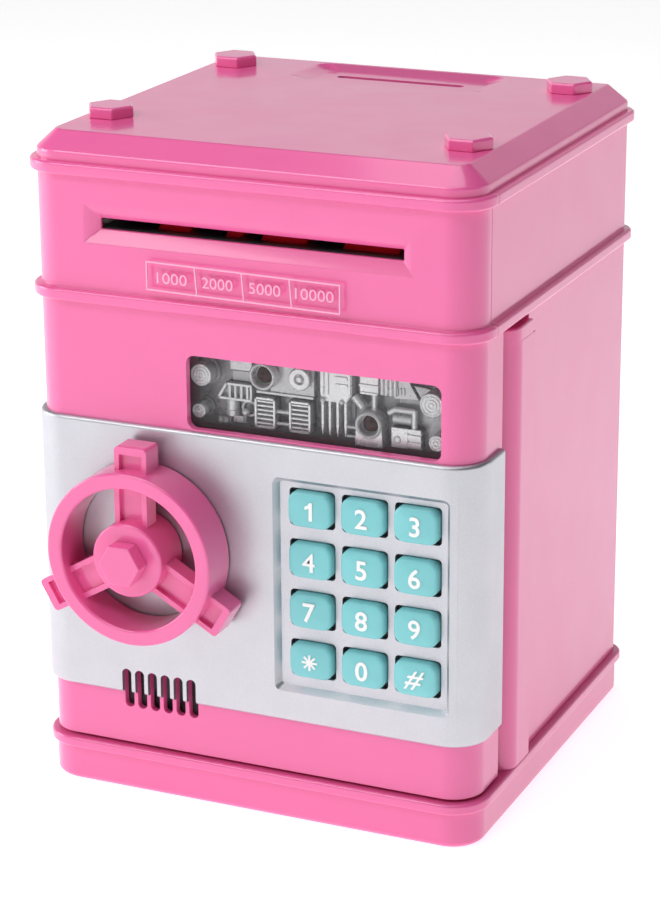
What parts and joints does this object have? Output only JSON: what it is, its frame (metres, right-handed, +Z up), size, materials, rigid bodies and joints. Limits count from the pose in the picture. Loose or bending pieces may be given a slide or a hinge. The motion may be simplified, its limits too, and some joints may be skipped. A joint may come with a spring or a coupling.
{
  "type": "toy safe coin bank",
  "caption": "Box-shaped toy safe money bank with hinged door, keypad, spoked handwheel, gear window, note slot, coin slot and capped lid.",
  "frame": {"origin": "centre of the flat underside of the base, midway between the side walls and midway between the front and back walls", "axes": "+Z up, -Y out of the front door, +X to the right of someone facing the front"},
  "size_m": [0.136, 0.1469, 0.1942],
  "materials": {
    "pink_plastic": "glossy injection-moulded ABS",
    "inner_pink": "satin injection-moulded ABS",
    "silver_paint": "fine metallic silver paint on ABS",
    "plated_silver": "satin silver plating on moulded plastic",
    "teal_key": "soft satin",
    "clear_window": "clear, polished",
    "led_red": "translucent, polished",
    "black_plastic": "fine matte",
    "gear_white": "moulded acetal",
    "red_rubber": "soft silicone",
    "dark_rubber": "matte",
    "steel": "bright zinc",
    "steel_can": "drawn can, satin",
    "brass": "turned",
    "circuit_green": "solder resist",
    "battery_jacket": "printed jacket",
    "wire_sleeve": "PVC sleeve"
  },
  "bodies": {
    "case": {"base_tray": "pink_plastic", "base_deck": "inner_pink", "battery_cover": "pink_plastic", "battery_cells": "battery_jacket", "battery_contacts": "steel", "rubber_feet": "dark_rubber", "case_screws": "steel", "body_shell": "pink_plastic", "upper_fascia": "pink_plastic", "top_lid": "pink_plastic", "lid_bolt_caps": "pink_plastic", "inner_shelf": "inner_pink", "hinge_post": "pink_plastic", "strike_plate": "inner_pink", "coin_chute": "inner_pink", "note_guide": "black_plastic", "roller_brackets": "black_plastic", "motor": "steel_can", "body_harness": "wire_sleeve", "hinge_pin": "steel"},
    "door": {"door_shell": "pink_plastic", "control_panel": "silver_paint", "key_membrane": "dark_rubber", "circuit_board": "circuit_green", "window_lens": "clear_window", "gear_relief": "plated_silver", "led_lenses": "led_red", "speaker": "black_plastic", "door_back_cover": "inner_pink", "door_back_screws": "steel", "hinge_bush": "brass", "solenoid": "steel_can", "plunger_spring": "steel", "door_harness": "wire_sleeve"},
    "wheel": {"handwheel": "pink_plastic", "hub_cap": "pink_plastic", "spindle": "steel", "latch_tongue": "steel", "cam_disc": "black_plastic"},
    "plunger": {"lock_plunger": "steel"},
    "feed_rollers": {"feed_shaft": "steel", "feed_tyres": "red_rubber", "feed_gear": "gear_white"},
    "pinch_roller_set": {"pinch_shaft": "steel", "pinch_rollers": "red_rubber"},
    "idler": {"idler_gear": "gear_white"},
    "pinion": {"motor_pinion": "gear_white"},
    "key_1": {"key_1": "teal_key"},
    "key_2": {"key_2": "teal_key"},
    "key_3": {"key_3": "teal_key"},
    "key_4": {"key_4": "teal_key"},
    "key_5": {"key_5": "teal_key"},
    "key_6": {"key_6": "teal_key"},
    "key_7": {"key_7": "teal_key"},
    "key_8": {"key_8": "teal_key"},
    "key_9": {"key_9": "teal_key"},
    "key_star": {"key_star": "teal_key"},
    "key_0": {"key_0": "teal_key"},
    "key_hash": {"key_hash": "teal_key"}
  },
  "joints": [
    {"name": "door_hinge", "type": "hinge", "parent": "case", "child": "door", "pos_m": [0.0605, -0.0472, 0.0793], "axis": [0, 0, 1], "range_deg": [0, 100]},
    {"name": "wheel_turn", "type": "hinge", "parent": "door", "child": "wheel", "pos_m": [-0.0304, -0.0727, 0.0765], "axis": [0, -1, 0], "range_deg": [0, 90]},
    {"name": "lock_slide", "type": "slide", "parent": "door", "child": "plunger", "axis": [-1, 0, 0], "range_m": [0, 0.003], "stiffness_N_per_m": 30, "springref_m": 0.003, "deforming": ["plunger_spring"]},
    {"name": "feed_spin", "type": "hinge", "parent": "case", "child": "feed_rollers", "pos_m": [0, -0.0487, 0.1604], "axis": [1, 0, 0], "continuous": true},
    {"name": "pinch_spin", "type": "hinge", "parent": "case", "child": "pinch_roller_set", "pos_m": [0, -0.0487, 0.1704], "axis": [1, 0, 0], "continuous": true},
    {"name": "idler_spin", "type": "hinge", "parent": "case", "child": "idler", "pos_m": [-0.0472, -0.03373, 0.15776], "axis": [1, 0, 0], "continuous": true},
    {"name": "pinion_spin", "type": "hinge", "parent": "case", "child": "pinion", "pos_m": [-0.0472, -0.02191, 0.15568], "axis": [1, 0, 0], "continuous": true},
    {"name": "press_1", "type": "slide", "parent": "door", "child": "key_1", "axis": [0, 1, 0], "range_m": [0, 0.0012], "stiffness_N_per_m": 800},
    {"name": "press_2", "type": "slide", "parent": "door", "child": "key_2", "axis": [0, 1, 0], "range_m": [0, 0.0012], "stiffness_N_per_m": 800},
    {"name": "press_3", "type": "slide", "parent": "door", "child": "key_3", "axis": [0, 1, 0], "range_m": [0, 0.0012], "stiffness_N_per_m": 800},
    {"name": "press_4", "type": "slide", "parent": "door", "child": "key_4", "axis": [0, 1, 0], "range_m": [0, 0.0012], "stiffness_N_per_m": 800},
    {"name": "press_5", "type": "slide", "parent": "door", "child": "key_5", "axis": [0, 1, 0], "range_m": [0, 0.0012], "stiffness_N_per_m": 800},
    {"name": "press_6", "type": "slide", "parent": "door", "child": "key_6", "axis": [0, 1, 0], "range_m": [0, 0.0012], "stiffness_N_per_m": 800},
    {"name": "press_7", "type": "slide", "parent": "door", "child": "key_7", "axis": [0, 1, 0], "range_m": [0, 0.0012], "stiffness_N_per_m": 800},
    {"name": "press_8", "type": "slide", "parent": "door", "child": "key_8", "axis": [0, 1, 0], "range_m": [0, 0.0012], "stiffness_N_per_m": 800},
    {"name": "press_9", "type": "slide", "parent": "door", "child": "key_9", "axis": [0, 1, 0], "range_m": [0, 0.0012], "stiffness_N_per_m": 800},
    {"name": "press_star", "type": "slide", "parent": "door", "child": "key_star", "axis": [0, 1, 0], "range_m": [0, 0.0012], "stiffness_N_per_m": 800},
    {"name": "press_0", "type": "slide", "parent": "door", "child": "key_0", "axis": [0, 1, 0], "range_m": [0, 0.0012], "stiffness_N_per_m": 800},
    {"name": "press_hash", "type": "slide", "parent": "door", "child": "key_hash", "axis": [0, 1, 0], "range_m": [0, 0.0012], "stiffness_N_per_m": 800}
  ],
  "couplings": [
    {"joint": "pinch_spin", "follows": "feed_spin", "ratio": -1.4872},
    {"joint": "idler_spin", "follows": "feed_spin", "ratio": -1.1111},
    {"joint": "pinion_spin", "follows": "feed_spin", "ratio": 1.6667}
  ]
}
